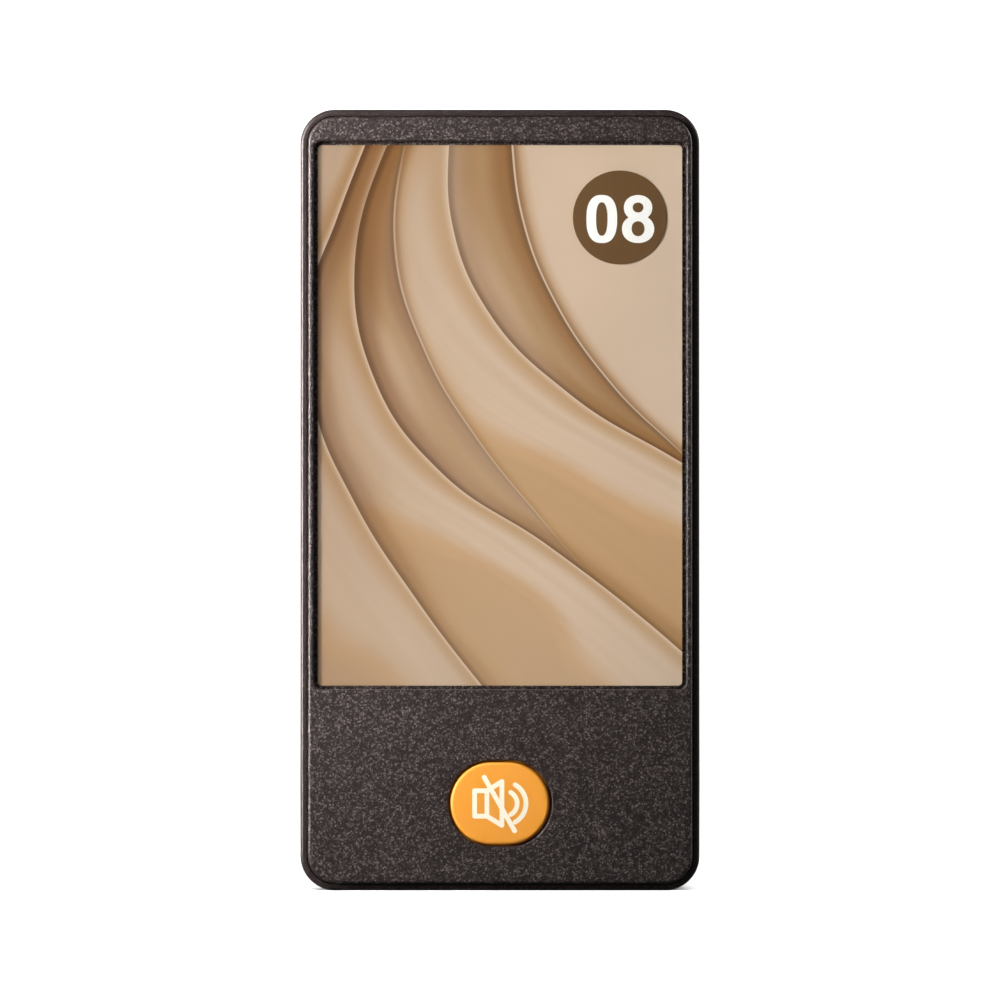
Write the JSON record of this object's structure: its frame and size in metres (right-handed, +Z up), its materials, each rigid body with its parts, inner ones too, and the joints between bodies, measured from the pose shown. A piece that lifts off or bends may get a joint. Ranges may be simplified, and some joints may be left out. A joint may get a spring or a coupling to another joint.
{
  "type": "guest pager",
  "caption": "Slim upright handheld pager: textured front with a printed card behind a clear window, a round-ended orange mute button, and a satin case with charging contacts.",
  "frame": {"origin": "centre of the footprint of the bounding box, on the bottom end that the pager stands on", "axes": "+X to the right as seen from the front; -Y out of the front face, +Y out of the back; +Z up, from the bottom end to the strap eye"},
  "size_m": [0.052, 0.012, 0.1017],
  "materials": {
    "cover_plastic": "fine spark-eroded texture",
    "case_plastic": "smooth satin",
    "seal_rubber": "matte",
    "screw_steel": "black-passivated steel",
    "window_clear": "clear acrylic, polished",
    "card_print": "printed, semi-gloss",
    "tape_white": "matte",
    "sticker_brown": "satin vinyl",
    "digit_white": "printed ink",
    "button_orange": "satin",
    "icon_white": "filled paint",
    "switch_black": "satin",
    "switch_steel": "bright",
    "plunger_white": "satin",
    "board_green": "solder mask",
    "chip_black": "moulded epoxy",
    "lead_tin": "tin plate",
    "capacitor_tan": "sintered",
    "tantalum_yellow": "moulded",
    "crystal_steel": "drawn can",
    "coil_copper": "enamelled copper wire",
    "led_lens": "clear resin",
    "light_pipe_red": "translucent",
    "disc_brass": "satin",
    "ceramic_silver": "silvered",
    "pin_gold": "gold plate",
    "mesh_steel": "woven",
    "motor_steel": "drawn can",
    "cap_plastic": "moulded",
    "bronze": "sintered",
    "magnet_nickel": "nickel plate",
    "boot_rubber": "matte",
    "shaft_steel": "ground",
    "weight_tungsten": "sintered tungsten",
    "wire_red": "wire insulation",
    "wire_blue": "wire insulation",
    "wire_black": "wire insulation",
    "cell_foil": "laminated foil pouch",
    "foam_grey": "closed-cell foam",
    "plug_white": "nylon",
    "contact_nickel": "nickel plate",
    "clip_bronze": "phosphor bronze"
  },
  "bodies": {
    "housing": {"front_cover": "cover_plastic", "rear_shell": "case_plastic", "case_seal": "seal_rubber", "case_screws": "screw_steel", "clear_window": "window_clear", "label_card": "card_print", "card_tape": "tape_white", "number_sticker": "sticker_brown", "number_digits": "digit_white", "switch_base": "switch_black", "switch_cover": "switch_steel", "switch_dome": "switch_steel", "switch_terminals": "lead_tin", "circuit_board": "board_green", "controller_chip": "chip_black", "controller_leads": "lead_tin", "radio_chip": "chip_black", "radio_leads": "lead_tin", "charger_chip": "chip_black", "charger_leads": "lead_tin", "crystal_can": "crystal_steel", "chip_capacitors": "capacitor_tan", "chip_solder_ends": "lead_tin", "bulk_capacitor": "tantalum_yellow", "antenna_coil": "coil_copper", "side_led": "led_lens", "rear_led": "led_lens", "side_light_pipe": "light_pipe_red", "rear_light_pipe": "light_pipe_red", "buzzer_disc": "disc_brass", "buzzer_ceramic": "ceramic_silver", "buzzer_pins": "pin_gold", "vent_mesh": "mesh_steel", "motor_can": "motor_steel", "motor_end_cap": "cap_plastic", "motor_bearing": "bronze", "motor_magnet": "magnet_nickel", "motor_boot": "boot_rubber", "motor_lead_red": "wire_red", "motor_lead_blue": "wire_blue", "battery_cell": "cell_foil", "battery_foam": "foam_grey", "battery_board": "board_green", "battery_socket": "plug_white", "battery_plug": "plug_white", "battery_lead_red": "wire_red", "battery_lead_black": "wire_black", "charge_contacts": "contact_nickel", "contact_clips": "clip_bronze"},
    "mute_button": {"mute_button": "button_orange", "mute_icon": "icon_white"},
    "switch_plunger": {"switch_plunger": "plunger_white"},
    "motor_rotor": {"motor_shaft": "shaft_steel", "rotor_coil": "coil_copper", "eccentric_weight": "weight_tungsten"}
  },
  "joints": [
    {"name": "mute_button_press", "type": "slide", "parent": "housing", "child": "mute_button", "axis": [0, 1, 0], "range_m": [0, 0.0005], "stiffness_N_per_m": 1500, "springref_m": -0.0005},
    {"name": "switch_plunger_press", "type": "slide", "parent": "housing", "child": "switch_plunger", "axis": [0, 1, 0], "range_m": [0, 0.0005], "deforming": ["switch_dome"]},
    {"name": "vibration_motor_spin", "type": "hinge", "parent": "housing", "child": "motor_rotor", "pos_m": [-0.0072, 0.0004, 0.0852], "axis": [1, 0, 0], "continuous": true}
  ],
  "couplings": [
    {"joint": "switch_plunger_press", "follows": "mute_button_press", "ratio": 1}
  ]
}
